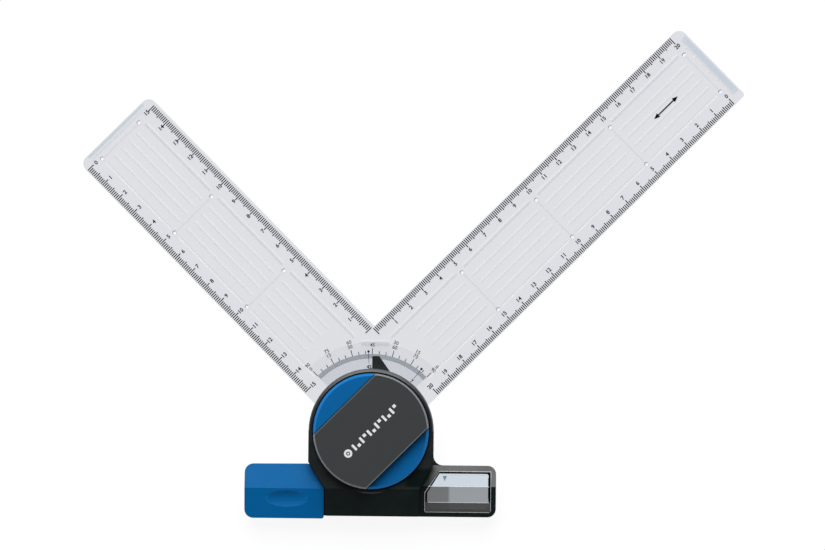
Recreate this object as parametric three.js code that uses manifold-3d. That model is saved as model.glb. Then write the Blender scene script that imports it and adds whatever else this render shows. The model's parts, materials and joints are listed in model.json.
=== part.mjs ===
// A drafting head: a clear L-shaped square on a hub that turns in a housing, that slides along a board rail.
// Millimetres. The origin is on the hub's axis in the paper's plane, +X runs along the rail and +Z is up.
import * as THREE from "three";
import { mergeVertices } from "three/addons/utils/BufferGeometryUtils.js";
import Module from "manifold-3d";

const wasm = await Module();
wasm.setup();

// The square's own frame is turned by this about the hub: x runs along the long arm, y along the short one.
const REST_TURN = Math.PI / 4;

// Clear sheet of the square
const SHEET_UNDER = 0.4;
const SHEET_TOP = 3.4;
const SHEET_EDGE_TOP = 1.4;
const FLAT_FROM = 0;
const FLAT_TO = 25;
const LONG_REACH = 242.4;
const LONG_OUTER = -10.25;
const LONG_INNER = 35.3;
const SHORT_REACH = 190.9;
const SHORT_OUTER = -10.3;
const SHORT_INNER = 36.5;
const END_BEVEL = 3.4;
const END_DROP = 1.6;
const END_CORNER = 4;
const SHARP_CORNER = 1.5;
const HUB_RADIUS = 19.5;
const HUB_BORE = 14.3;
const CLAMP_SEAT_RADIUS = 18;
const CLAMP_SEAT_TOP = 1.6;
const NUB_RADIUS = 1.1;
const NUB_TIP_RADIUS = 0.7;
const NUB_SIDES = 8;
const NUB_PITCH = 50;
const FIRST_NUB = 84.7;
const LONG_NUBS = 4;
const SHORT_NUBS = 3;
const NUB_ROWS = [-1, 23.9];

// Protractor arc sunk in the sheet
const ARC_FLOOR = 2.6;
const ARC_INNER = 20;
const ARC_RADIUS = 35;
const ARC_SLOPE_WIDTH = 2.2;

// Clamp plate under the sheet
const CLAMP_RADIUS = 17.7;
const CLAMP_TOP = 1.5;
const CLAMP_SCREW_CIRCLE = 11;

// Hub carrier
const SPIGOT_RADIUS = 14;
const COLLAR_RADIUS = 19;
const COLLAR_BOTTOM = 3.5;
const FLANGE_BOTTOM = 5.9;
const FLANGE_TOP = 7.3;
const FLANGE_RADIUS = 24;
const POST_CIRCLE = 15;
const POST_RADIUS = 1.5;
const POST_TOP = 12.8;
const AXLE_RECESS_RADIUS = 5;
const AXLE_RECESS_TOP = 4.4;
const AXLE_BORE = 2.2;

// Housing
const HOUSING_BOTTOM = 4.5;
const TURRET_TOP = 18;
const TURRET_RADIUS = 30.1;
const RIM_SHOULDER_WIDTH = 0.5;
const RIM_SHOULDER_DROP = 0.6;
const RIM_CROWN_WIDTH = 1;
const RIM_CROWN_DROP = 0.36;
const POCKET_RADIUS = 28.5;
const DECK_TOP = 15;
const DECK_BOTTOM = 13.4;
const DECK_BORE = 10.3;
const DRUM_RADIUS = 24.6;
const RING_SEAT_RADIUS = 28.3;
const RING_SEAT_TOP = 5.6;
const SHOULDER_Y = -15;
const CENTRE_LEFT = -21.9;
const CENTRE_RIGHT = 23.3;
const FLANK_Y = -27.7;
const FRONT_Y = -40.9;
const CENTRE_FRONT_TOP = 14;
const FOOT_BOTTOM = 6.1;
const FOOT_POCKET_HALF_LENGTH = 20;
const FOOT_POCKET_BACK_Y = -31;
const FOOT_POCKET_TOP = 12;
const FOOT_WALL = 2.2;
const SHOE_BOSS_RADIUS = 2.6;

// Foot bar's wings
const WING_BACK_Y = -16.1;
const WING_RIGHT = 60.3;
const WING_LEFT = -60.2;
const WING_EDGE_TOP = 10.8;
const WING_RIDGE_TOP = 13.2;
const WING_RIDGE_Y = -26.2;
const WING_CORNER = 4;
const WING_FILLET = 4.5;
const TRAY_TOP = 7.3;
const SOLE_BOSS_RADIUS = 2.2;
const SOLE_BOSS_TOP = 8.6;

// Reading window
const WINDOW_LEFT = 26.3;
const WINDOW_RIGHT = 57.6;
const WINDOW_FRONT = -38.4;
const WINDOW_BACK = -19.2;
const WINDOW_SLANT_X = 32.6;
const WINDOW_SLANT_Y = -29;
const WINDOW_BACK_TOP = 11.4;
const WINDOW_SINK = 0.4;
const WINDOW_WALL = 1.5;
const WINDOW_LIP = 1;
const WINDOW_LIP_TOP = 7.2;
const WINDOW_GAP = 0.3;
const VIEW_MARGIN = 0.9;
const VIEW_FRONT = -33.9;

// Retaining ring, friction washer and pointer
const RING_BORE = 19.1;
const RING_RADIUS = 28;
const RING_TOP = 5.5;
const RING_SCREW_CIRCLE = 26.2;
const WASHER_BORE = 19.4;
const WASHER_RADIUS = 23.8;
const WASHER_TOP = 5.85;
const POINTER_TIP_Y = 36.2;
const POINTER_TIP_WIDTH = 3.4;
const POINTER_WIDTH = 8.9;
const POINTER_UNDER = 3.8;
const POINTER_TOP = 5;
const POINTER_ROOT_UNDER = 5.6;
const POINTER_ROOT_TOP = 7;
const POINTER_STEP_Y = 31.5;
const POINTER_NECK_Y = 28.4;
const POINTER_ROOT_LEFT = -3;
const POINTER_ROOT_RIGHT = 8.9;
const POINTER_ROOT_Y = 26;
const POINTER_ROOT_BACK_Y = 28.6;
const POINTER_PLAY = 0.5;

// Lock under the deck
const LINING_INNER = 20;
const LINING_OUTER = 24.3;
const LINING_BOTTOM = 12.4;
const LOCK_PLATE_RADIUS = 24;
const LOCK_PLATE_BORE = 6.7;
const LOCK_PLATE_BOTTOM = 10.8;
const LOCK_PLATE_TOP = 12.3;
const LOCK_SPRING_RADIUS = 11;
const LOCK_SPRING_WIRE = 0.5;
const LOCK_SPRING_TURNS = 2;

// Knob: grip bar and the release plate below it
const KNOB_RADIUS = 27.8;
const GRIP_HALF_WIDTH = 18.2;
const GRIP_BOTTOM = 19;
const GRIP_TOP = 27;
const GRIP_CHAMFER = 0.8;
const GRIP_WALL = 2.5;
const GRIP_ROOF = 2.5;
const BOSS_RADIUS = 6.2;
const BOSS_BOTTOM = 7.4;
const BOSS_BORE_TOP = 16;
const KEY_LENGTH = 12;
const KEY_WIDTH = 3.6;
const KEY_DEPTH = 0.8;
const RELEASE_BOTTOM = 16.8;
const RELEASE_TOP = 18.3;
const SEGMENT_TOP = 22;
const SEGMENT_CHAMFER = 1.2;
const SLEEVE_INNER = 7.3;
const SLEEVE_OUTER = 9.7;
const SLEEVE_BOTTOM = 12.4;

// Sole plate, pads and shoes
const SOLE_BOTTOM = 4.5;
const SOLE_TOP = 6;
const SOLE_INSET = 0.2;
const RAIL_TOP = 4;
const PAD_LENGTH = 10;
const PAD_WIDTH = 2.4;
const PAD_TOP = 5;
const PAD_FRONT_Y = -38.6;
const PAD_FRONT_X = 48;
const PAD_SIDE_Y = -27;
const PAD_SIDE_X = 57.7;
const SHOE_LENGTH = 20;
const SHOE_WIDTH = 3.8;
const SHOE_BOTTOM = 1;
const SHOE_X = 14;
const SHOE_Y = -35;

// Thumb lever
const LEVER_LEFT = -60.7;
const LEVER_RIGHT = -22.5;
const LEVER_FRONT = -42.3;
const LEVER_BACK = -16.1;
const LEVER_SLANT_X = -30;
const LEVER_CORNER = 4.2;
const LEVER_RIDGE_Y = -27.8;
const LEVER_RIDGE_TOP = 14.5;
const LEVER_BACK_TOP = 11;
const LEVER_FRONT_TOP = 10.8;
const LEVER_WALL = 1.6;
const LEVER_ROOF = 1.8;
const LEVER_SKIRT = 8.8;
const DENT_X = -40.4;
const DENT_Y = -33.9;
const DENT_HALF_LENGTH = 10;
const DENT_HALF_WIDTH = 4.6;
const DENT_DEPTH = 0.9;
const DENT_BALL_GROWTH = 1.12;
const DENT_BALL_HEIGHT = 2;
const PIN_Z = 9;
const PIN_RADIUS = 1;
const PIN_BORE = 1.08;
const PIN_LENGTH = 27;
const PIN_X = -42;
const EAR_HALF_WIDTH = 2.2;
const EAR_TOP = 10.7;
const EAR_SPANS = [
  [-55, -52.5],
  [-31.5, -29],
];
const RIB_BOTTOM = 7.6;
const RIB_TOP = 12.9;
const RIB_SPANS = [
  [-50.5, -48.5],
  [-36, -34],
];
const LEVER_SPRING_X = -43;
const LEVER_SPRING_Y = -36.2;
const LEVER_SPRING_RADIUS = 2;
const LEVER_SPRING_WIRE = 0.35;
const LEVER_SPRING_TURNS = 3;
const LEVER_SPRING_PLAY = 0.6;
const BRAKE_X = -43;
const BRAKE_Y = -23.6;
const BRAKE_LENGTH = 8;
const BRAKE_WIDTH = 2.8;
const BRAKE_PAD_TOP = 5.1;
const BRAKE_STEM_LENGTH = 7;
const BRAKE_STEM_WIDTH = 2.4;
const BRAKE_STEM_BOTTOM = 5.2;
const BRAKE_STEM_TOP = 11.9;
const BRAKE_SLOT_LENGTH = 10;
const BRAKE_SLOT_WIDTH = 5.4;

// Clearances and how finely circles are divided
const SLIP = 0.3;
const PAD_SEAT_SLIP = 0.1;
const SCREW_SLIP = 0.25;
const SCREW_HEAD_HEIGHT = 0.4;
const SCREW_SLOT_WIDTH = 0.3;
const OVERLAP = 0.1;
const ABOVE = 40;
const BIG_SIDES = 64;
const HUB_SIDES = 40;
const HIDDEN_SIDES = 32;
const SMALL_SIDES = 12;

const MATERIALS = {
  clear: { color: 0xdadde3, roughness: 0.08, metalness: 0, transparent: true, opacity: 0.35 },
  black: { color: 0x1e2222, roughness: 0.45, metalness: 0 },
  grip: { color: 0x3e4242, roughness: 0.7, metalness: 0 },
  blue: { color: 0x0058a5, roughness: 0.4, metalness: 0 },
  white: { color: 0xe4e4de, roughness: 0.5, metalness: 0 },
  steel: { color: 0xa8abae, roughness: 0.35, metalness: 1 },
  rubber: { color: 0x2b2724, roughness: 0.9, metalness: 0 },
};

const X_AXIS = new THREE.Vector3(1, 0, 0);
const Y_AXIS = new THREE.Vector3(0, 1, 0);
const Z_AXIS = new THREE.Vector3(0, 0, 1);

// A closed three.js geometry as a manifold-3d solid.
function solid(geometry) {
  const bare = geometry.clone();
  bare.deleteAttribute("normal");
  bare.deleteAttribute("uv");
  const merged = mergeVertices(bare, 1e-4);
  const made = { numProp: 3, vertProperties: merged.attributes.position.array };
  made.triVerts = new Uint32Array(merged.index.array);
  return new wasm.Manifold(new wasm.Mesh(made));
}

// A manifold-3d solid as a three.js geometry with flat faces.
function geometryOf(body) {
  const found = body.getMesh();
  const shared = new THREE.BufferGeometry();
  shared.setAttribute("position", new THREE.BufferAttribute(found.vertProperties, 3));
  shared.setIndex(new THREE.BufferAttribute(found.triVerts, 1));
  const flat = shared.toNonIndexed();
  flat.computeVertexNormals();
  return flat;
}

function join(first, ...others) {
  return others.reduce((body, other) => body.add(other), first);
}

function cut(first, ...others) {
  return others.reduce((body, other) => body.subtract(other), first);
}

function box(x0, x1, y0, y1, z0, z1) {
  const made = new THREE.BoxGeometry(x1 - x0, y1 - y0, z1 - z0);
  return solid(made.translate((x0 + x1) / 2, (y0 + y1) / 2, (z0 + z1) / 2));
}

// A box given by its middle in plan and its two sides.
function block(x, y, length, width, z0, z1) {
  return box(x - length / 2, x + length / 2, y - width / 2, y + width / 2, z0, z1);
}

// An upright cone or cylinder between two heights.
function cone(bottomRadius, topRadius, z0, z1, x = 0, y = 0, sides = SMALL_SIDES) {
  const made = new THREE.CylinderGeometry(topRadius, bottomRadius, z1 - z0, sides);
  return solid(made.rotateX(Math.PI / 2).translate(x, y, (z0 + z1) / 2));
}

function drum(radius, z0, z1, x = 0, y = 0, sides = SMALL_SIDES) {
  return cone(radius, radius, z0, z1, x, y, sides);
}

function ring(inner, outer, z0, z1, sides = HIDDEN_SIDES) {
  return cut(drum(outer, z0, z1, 0, 0, sides), drum(inner, z0 - 1, z1 + 1, 0, 0, sides));
}

// A disc whose top edge is chamfered.
function chamferedDisc(radius, z0, z1, chamfer) {
  const below = drum(radius, z0, z1 - chamfer, 0, 0, BIG_SIDES);
  return join(below, cone(radius, radius - chamfer, z1 - chamfer, z1, 0, 0, BIG_SIDES));
}

// A closed outline through corners [x, y, radius], each rounded by its radius.
function outline(corners) {
  const shape = new THREE.Shape();
  corners.forEach(([x, y, radius = 0], i) => {
    const here = new THREE.Vector2(x, y);
    const before = corners[(i + corners.length - 1) % corners.length];
    const after = corners[(i + 1) % corners.length];
    const back = new THREE.Vector2(before[0], before[1]).sub(here).normalize();
    const on = new THREE.Vector2(after[0], after[1]).sub(here).normalize();
    const move = i ? "lineTo" : "moveTo";
    if (!radius) {
      shape[move](x, y);
      return;
    }
    const half = Math.acos(back.dot(on)) / 2;
    const start = back.clone().multiplyScalar(radius / Math.tan(half)).add(here);
    const end = on.clone().multiplyScalar(radius / Math.tan(half)).add(here);
    const centre = back.clone().add(on).setLength(radius / Math.sin(half)).add(here);
    const from = Math.atan2(start.y - centre.y, start.x - centre.x);
    const to = Math.atan2(end.y - centre.y, end.x - centre.x);
    shape[move](start.x, start.y);
    shape.absarc(centre.x, centre.y, radius, from, to, back.cross(on) > 0);
  });
  shape.closePath();
  return shape;
}

// An upright slab of an outline between two heights.
function slab(corners, z0, z1, curveSegments = 3) {
  const settings = { depth: z1 - z0, bevelEnabled: false, curveSegments };
  return solid(new THREE.ExtrudeGeometry(outline(corners), settings).translate(0, 0, z0));
}

// A prism along X or Y. Its profile's points are [across, height].
function prism(profile, along, from, to) {
  const settings = { depth: to - from, bevelEnabled: false };
  const made = new THREE.ExtrudeGeometry(outline(profile), settings);
  const turn = new THREE.Matrix4();
  if (along === "x") turn.makeBasis(Y_AXIS, Z_AXIS, X_AXIS).setPosition(from, 0, 0);
  else turn.makeBasis(X_AXIS, Z_AXIS, Y_AXIS.clone().negate()).setPosition(0, to, 0);
  return solid(made.applyMatrix4(turn));
}

// Points evenly round a circle, the first at an angle in degrees.
function around(count, radius, firstAngle) {
  return Array.from({ length: count }, (_, i) => {
    const angle = THREE.MathUtils.degToRad(firstAngle) + (i * 2 * Math.PI) / count;
    return [radius * Math.cos(angle), radius * Math.sin(angle)];
  });
}

// A slotted screw driven from below, with its head's underside at z0 and its tip at z1.
function screw(x, y, z0, z1, headRadius, shankRadius) {
  const headTop = z0 + headRadius * SCREW_HEAD_HEIGHT;
  const head = drum(headRadius, z0, headTop, x, y);
  const shank = drum(shankRadius, headTop - OVERLAP, z1, x, y);
  const slotTop = (z0 + headTop) / 2;
  const slot = block(x, y, headRadius * 3, headRadius * SCREW_SLOT_WIDTH, z0 - 1, slotTop);
  return cut(join(head, shank), slot);
}

// The hole for such a screw: its head's seat and its shank's bore.
function screwHole(x, y, z0, z1, headRadius, shankRadius) {
  const seatTop = z0 + headRadius * SCREW_HEAD_HEIGHT + OVERLAP;
  const seat = drum(headRadius + SCREW_SLIP, z0 - ABOVE, seatTop, x, y);
  return join(seat, drum(shankRadius + SCREW_SLIP, z0, z1 + SCREW_SLIP, x, y));
}

class Helix extends THREE.Curve {
  constructor(radius, z0, z1, turns) {
    super();
    Object.assign(this, { radius, z0, z1, turns });
  }

  getPoint(t, target = new THREE.Vector3()) {
    const angle = t * this.turns * 2 * Math.PI;
    const z = THREE.MathUtils.lerp(this.z0, this.z1, t);
    return target.set(this.radius * Math.cos(angle), this.radius * Math.sin(angle), z);
  }
}

// A coil spring whose wire fills the space between two heights.
function coil(x, y, radius, wire, z0, z1, turns) {
  const section = new THREE.Shape().absarc(0, 0, wire, 0, 2 * Math.PI);
  const extrudePath = new Helix(radius, z0 + wire, z1 - wire, turns);
  const settings = { steps: turns * 16, curveSegments: 3, bevelEnabled: false, extrudePath };
  return solid(new THREE.ExtrudeGeometry(section, settings).translate(x, y, 0));
}

// The screws, each as x, y, its head's underside, its tip, head radius and shank radius
const CLAMP_SCREWS = around(3, CLAMP_SCREW_CIRCLE, 0).map(([x, y]) => [x, y, 0.2, 4.6, 2.4, 1.2]);
const RING_SCREWS = around(3, RING_SCREW_CIRCLE, 30).map(([x, y]) => [x, y, 4.65, 9.6, 1.6, 0.85]);
const SOLE_SCREWS = [-56.4, -27.5].map((x) => [x, -37.5, 4.6, 8.2, 1.8, 0.9]);
const SHOE_SCREWS = [-SHOE_X, SHOE_X].map((x) => [x, SHOE_Y, 1.2, 10, 1.5, 1]);
const AXLE_SCREW = [0, 0, 2.6, 15, 4.2, 1.9];

// The hub carrier's posts, which drive the lock plate
const POSTS = around(3, POST_CIRCLE, 60);

// Glide pads as x, y, length and width
const GLIDE_PADS = [
  [-PAD_FRONT_X, PAD_FRONT_Y, PAD_LENGTH, PAD_WIDTH],
  [PAD_FRONT_X, PAD_FRONT_Y, PAD_LENGTH, PAD_WIDTH],
  [-PAD_SIDE_X, PAD_SIDE_Y, PAD_WIDTH, PAD_LENGTH],
  [PAD_SIDE_X, PAD_SIDE_Y, PAD_WIDTH, PAD_LENGTH],
];

// One arm's cross-section: a flat middle between two long bevels.
function armProfile(outer, inner) {
  return [
    [outer, SHEET_UNDER],
    [inner, SHEET_UNDER],
    [inner, SHEET_EDGE_TOP],
    [FLAT_TO, SHEET_TOP],
    [FLAT_FROM, SHEET_TOP],
    [outer, SHEET_EDGE_TOP],
  ];
}

// What the bevel across an arm's end takes off.
function endWedge(reach, along) {
  const profile = [
    [reach - END_BEVEL, SHEET_TOP],
    [reach + END_BEVEL, SHEET_TOP - 2 * END_DROP],
    [reach + END_BEVEL, SHEET_TOP + 1],
    [reach - END_BEVEL, SHEET_TOP + 1],
  ];
  return prism(profile, along, -ABOVE, 2 * ABOVE);
}

// The shallow quarter ring cut for the protractor, with a slope as its outer wall.
function protractorArc() {
  const slopeTop = ARC_FLOOR + 2 * (SHEET_TOP - ARC_FLOOR);
  const slopeRadius = ARC_RADIUS + 2 * ARC_SLOPE_WIDTH;
  const dish = cone(ARC_RADIUS, slopeRadius, ARC_FLOOR, slopeTop, 0, 0, BIG_SIDES);
  const quadrant = box(0, ABOVE, 0, ABOVE, ARC_FLOOR, slopeTop);
  return cut(dish, drum(ARC_INNER, 0, ABOVE, 0, 0, BIG_SIDES)).intersect(quadrant);
}

// One of the nubs that hold the sheet off the paper.
function nub(x, y) {
  return cone(NUB_TIP_RADIUS, NUB_RADIUS, 0, SHEET_UNDER + OVERLAP, x, y, NUB_SIDES);
}

function rulerSquare() {
  const arms = join(
    prism(armProfile(LONG_OUTER, LONG_INNER), "x", 0, LONG_REACH),
    prism(armProfile(SHORT_OUTER, SHORT_INNER), "y", 0, SHORT_REACH),
  );
  const plan = [
    [SHORT_OUTER, LONG_OUTER],
    [LONG_REACH, LONG_OUTER, SHARP_CORNER],
    [LONG_REACH, LONG_INNER, END_CORNER],
    [SHORT_INNER, LONG_INNER],
    [SHORT_INNER, SHORT_REACH, END_CORNER],
    [SHORT_OUTER, SHORT_REACH, END_CORNER],
  ];
  const trimmed = arms.intersect(slab(plan, SHEET_UNDER, SHEET_TOP));
  const hub = drum(HUB_RADIUS, SHEET_UNDER, SHEET_TOP, 0, 0, BIG_SIDES);
  const nubs = NUB_ROWS.flatMap((row) => [
    ...Array.from({ length: LONG_NUBS }, (_, i) => nub(FIRST_NUB + i * NUB_PITCH, row)),
    ...Array.from({ length: SHORT_NUBS }, (_, i) => nub(row, FIRST_NUB + i * NUB_PITCH)),
  ]);
  return cut(
    join(trimmed, hub, ...nubs),
    endWedge(LONG_REACH, "y"),
    endWedge(SHORT_REACH, "x"),
    protractorArc(),
    drum(HUB_BORE, -1, ABOVE, 0, 0, HUB_SIDES),
    drum(CLAMP_SEAT_RADIUS, -1, CLAMP_SEAT_TOP, 0, 0, HUB_SIDES),
  );
}

function clampPlate() {
  const holes = CLAMP_SCREWS.map((s) => screwHole(...s));
  return cut(drum(CLAMP_RADIUS, 0, CLAMP_TOP, 0, 0, HUB_SIDES), ...holes);
}

function hubCarrier() {
  const postBottom = FLANGE_TOP - OVERLAP;
  const body = join(
    drum(SPIGOT_RADIUS, CLAMP_TOP, COLLAR_BOTTOM + OVERLAP, 0, 0, HUB_SIDES),
    drum(COLLAR_RADIUS, COLLAR_BOTTOM, FLANGE_BOTTOM, 0, 0, HUB_SIDES),
    drum(FLANGE_RADIUS, FLANGE_BOTTOM, FLANGE_TOP, 0, 0, HIDDEN_SIDES),
    ...POSTS.map(([x, y]) => drum(POST_RADIUS, postBottom, POST_TOP, x, y)),
  );
  const keySeat = FLANGE_TOP - KEY_DEPTH - OVERLAP;
  return cut(
    body,
    drum(AXLE_RECESS_RADIUS, 0, AXLE_RECESS_TOP),
    drum(AXLE_BORE, 0, ABOVE),
    block(0, 0, KEY_LENGTH + 2 * SLIP, KEY_WIDTH + 2 * SLIP, keySeat, ABOVE),
    ...CLAMP_SCREWS.map((s) => screwHole(...s)),
  );
}

function lockPlate() {
  const plate = ring(LOCK_PLATE_BORE, LOCK_PLATE_RADIUS, LOCK_PLATE_BOTTOM, LOCK_PLATE_TOP);
  return cut(plate, ...POSTS.map(([x, y]) => drum(POST_RADIUS + SLIP, 0, ABOVE, x, y)));
}

function releasePlate() {
  const strip = GRIP_HALF_WIDTH + SLIP;
  const bore = drum(LOCK_PLATE_BORE, 0, ABOVE, 0, 0, HIDDEN_SIDES);
  const disc = cut(drum(KNOB_RADIUS, RELEASE_BOTTOM, RELEASE_TOP, 0, 0, BIG_SIDES), bore);
  const above = chamferedDisc(KNOB_RADIUS, RELEASE_BOTTOM, SEGMENT_TOP, SEGMENT_CHAMFER);
  const segments = cut(above, box(-ABOVE, ABOVE, -strip, strip, 0, ABOVE));
  const sleeve = ring(SLEEVE_INNER, SLEEVE_OUTER, SLEEVE_BOTTOM, RELEASE_BOTTOM + OVERLAP);
  return join(disc, segments, sleeve);
}

function gripBar() {
  const strip = box(-ABOVE, ABOVE, -GRIP_HALF_WIDTH, GRIP_HALF_WIDTH, 0, ABOVE);
  const inside = GRIP_HALF_WIDTH - GRIP_WALL;
  const roof = GRIP_TOP - GRIP_ROOF;
  const hollow = drum(KNOB_RADIUS - GRIP_WALL, 0, roof, 0, 0, HUB_SIDES);
  const room = hollow.intersect(box(-ABOVE, ABOVE, -inside, inside, 0, ABOVE));
  const boss = drum(BOSS_RADIUS, BOSS_BOTTOM, roof + OVERLAP, 0, 0, HIDDEN_SIDES);
  const key = block(0, 0, KEY_LENGTH, KEY_WIDTH, BOSS_BOTTOM - KEY_DEPTH, BOSS_BOTTOM + OVERLAP);
  const bar = chamferedDisc(KNOB_RADIUS, GRIP_BOTTOM, GRIP_TOP, GRIP_CHAMFER).intersect(strip);
  return cut(join(cut(bar, room), boss, key), drum(AXLE_BORE, 0, BOSS_BORE_TOP));
}

// The round turret with its domed rim: a steep shoulder outside a gentle crown.
function turret() {
  const shoulderTop = TURRET_TOP - RIM_CROWN_DROP;
  const shoulderBottom = shoulderTop - RIM_SHOULDER_DROP;
  const crownRadius = TURRET_RADIUS - RIM_SHOULDER_WIDTH;
  const topRadius = crownRadius - RIM_CROWN_WIDTH;
  return join(
    drum(TURRET_RADIUS, HOUSING_BOTTOM, shoulderBottom, 0, 0, BIG_SIDES),
    cone(TURRET_RADIUS, crownRadius, shoulderBottom, shoulderTop, 0, 0, BIG_SIDES),
    cone(crownRadius, topRadius, shoulderTop, TURRET_TOP, 0, 0, BIG_SIDES),
  );
}

// The housing's raised middle between the two wings, sloping down to the front.
function centreBody() {
  const plan = [
    [-TURRET_RADIUS, 0],
    [-TURRET_RADIUS, SHOULDER_Y],
    [CENTRE_LEFT, FLANK_Y],
    [CENTRE_LEFT, FRONT_Y, 1],
    [CENTRE_RIGHT, FRONT_Y, 1],
    [CENTRE_RIGHT, FLANK_Y],
    [TURRET_RADIUS, SHOULDER_Y],
    [TURRET_RADIUS, 0],
  ];
  const profile = [
    [FRONT_Y, FOOT_BOTTOM],
    [0, FOOT_BOTTOM],
    [0, TURRET_TOP],
    [FLANK_Y, TURRET_TOP],
    [FRONT_Y, CENTRE_FRONT_TOP],
  ];
  return slab(plan, FOOT_BOTTOM, TURRET_TOP).intersect(prism(profile, "x", -ABOVE, ABOVE));
}

// A wing's outer top: two slopes that meet at a ridge.
function roof(backY, backTop, ridgeY, ridgeTop, frontY, frontTop, bottom) {
  return [
    [frontY, bottom],
    [backY, bottom],
    [backY, backTop],
    [ridgeY, ridgeTop],
    [frontY, frontTop],
  ];
}

function rightWing() {
  const plan = [
    [SHOE_X, FRONT_Y],
    [WING_RIGHT, FRONT_Y, WING_CORNER],
    [WING_RIGHT, WING_BACK_Y, WING_CORNER],
    [TURRET_RADIUS, WING_BACK_Y, WING_FILLET],
    [TURRET_RADIUS, WING_BACK_Y + WING_FILLET + 1],
    [SHOE_X, WING_BACK_Y + WING_FILLET + 1],
  ];
  const profile = [
    [FRONT_Y, FOOT_BOTTOM],
    [0, FOOT_BOTTOM],
    [0, WING_EDGE_TOP],
    [WING_BACK_Y, WING_EDGE_TOP],
    [WING_RIDGE_Y, WING_RIDGE_TOP],
    [FRONT_Y, WING_EDGE_TOP],
  ];
  return slab(plan, FOOT_BOTTOM, ABOVE).intersect(prism(profile, "x", 0, 2 * ABOVE));
}

// A wall that the lever's pin goes through, between two places along it.
function acrossPin([x0, x1], z0, z1) {
  return box(x0, x1, LEVER_RIDGE_Y - EAR_HALF_WIDTH, LEVER_RIDGE_Y + EAR_HALF_WIDTH, z0, z1);
}

// The tray under the lever, with the two ears that hold its pin and the bosses of the sole's screws.
function leftTray() {
  const plan = [
    [WING_LEFT, FRONT_Y, WING_CORNER],
    [CENTRE_LEFT + 1, FRONT_Y],
    [CENTRE_LEFT + 1, WING_BACK_Y],
    [WING_LEFT, WING_BACK_Y, WING_CORNER],
  ];
  const root = TRAY_TOP - OVERLAP;
  const ears = EAR_SPANS.map((span) => acrossPin(span, root, EAR_TOP));
  const bosses = SOLE_SCREWS.map(([x, y]) => drum(SOLE_BOSS_RADIUS, root, SOLE_BOSS_TOP, x, y));
  return join(slab(plan, FOOT_BOTTOM, TRAY_TOP), ...ears, ...bosses);
}

// The window's plan, grown by a margin.
function windowPlan(margin) {
  const slant = margin * 0.5;
  return [
    [WINDOW_LEFT - margin, WINDOW_FRONT - margin, 0.6],
    [WINDOW_RIGHT + margin, WINDOW_FRONT - margin, 1],
    [WINDOW_RIGHT + margin, WINDOW_BACK + margin, 1],
    [WINDOW_SLANT_X - slant, WINDOW_BACK + margin],
    [WINDOW_LEFT - margin, WINDOW_SLANT_Y + slant],
  ];
}

function pinBore() {
  const made = new THREE.CylinderGeometry(PIN_BORE, PIN_BORE, 2 * ABOVE, SMALL_SIDES);
  return solid(made.rotateZ(Math.PI / 2).translate(-ABOVE, LEVER_RIDGE_Y, PIN_Z));
}

// The slot that the rail brake's foot goes down through.
function brakeSlot() {
  return block(BRAKE_X, BRAKE_Y, BRAKE_SLOT_LENGTH, BRAKE_SLOT_WIDTH, 0, TRAY_TOP + 1);
}

// The hollow in the raised middle, round the bosses that the shoes' screws go up into.
function footPocket() {
  const half = FOOT_POCKET_HALF_LENGTH;
  const room = box(-half, half, FRONT_Y + FOOT_WALL, FOOT_POCKET_BACK_Y, 0, FOOT_POCKET_TOP);
  return cut(room, ...SHOE_SCREWS.map(([x, y]) => drum(SHOE_BOSS_RADIUS, 0, FOOT_POCKET_TOP, x, y)));
}

// The room for the pointer's root and, in front of it, its neck.
function pointerPocket() {
  const left = POINTER_ROOT_LEFT - SLIP;
  const right = POINTER_ROOT_RIGHT + SLIP;
  const neckRight = POINTER_WIDTH + POINTER_PLAY;
  const top = POINTER_ROOT_TOP + SLIP;
  return join(
    box(left, right, POINTER_ROOT_Y - POINTER_PLAY, POINTER_STEP_Y, RING_TOP, top),
    box(-SLIP, neckRight, POINTER_NECK_Y - POINTER_PLAY, POINTER_STEP_Y + 1, 0, top),
  );
}

function housing() {
  return cut(
    join(turret(), centreBody(), rightWing(), leftTray()),
    drum(POCKET_RADIUS, DECK_TOP, ABOVE, 0, 0, BIG_SIDES),
    drum(DECK_BORE, 0, ABOVE, 0, 0, HIDDEN_SIDES),
    drum(DRUM_RADIUS, 0, DECK_BOTTOM, 0, 0, HIDDEN_SIDES),
    drum(RING_SEAT_RADIUS, 0, RING_SEAT_TOP, 0, 0, HUB_SIDES),
    footPocket(),
    pointerPocket(),
    slab(windowPlan(WINDOW_GAP), 0, ABOVE),
    slab(windowPlan(WINDOW_LIP + WINDOW_GAP), 0, WINDOW_LIP_TOP + OVERLAP),
    pinBore(),
    brakeSlot(),
    ...[...RING_SCREWS, ...SOLE_SCREWS, ...SHOE_SCREWS].map((s) => screwHole(...s)),
  );
}

// Everything below the window's top faces, lowered by a drop.
function underWindowTop(drop) {
  const back = WINDOW_BACK_TOP - drop;
  const front = WING_EDGE_TOP - drop;
  const top = roof(0, back, WING_RIDGE_Y, WING_RIDGE_TOP - drop, FRONT_Y, front, 0);
  return prism(top, "x", 0, 2 * ABOVE);
}

function readingWindow() {
  const body = slab(windowPlan(0), FOOT_BOTTOM, ABOVE).intersect(underWindowTop(WINDOW_SINK));
  const lip = slab(windowPlan(WINDOW_LIP), FOOT_BOTTOM, WINDOW_LIP_TOP);
  const under = underWindowTop(WINDOW_SINK + WINDOW_WALL);
  return cut(join(body, lip), slab(windowPlan(-WINDOW_WALL), 0, ABOVE).intersect(under));
}

function retainingRing() {
  const holes = RING_SCREWS.map((s) => screwHole(...s));
  return cut(ring(RING_BORE, RING_RADIUS, HOUSING_BOTTOM, RING_TOP, HUB_SIDES), ...holes);
}

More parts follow.
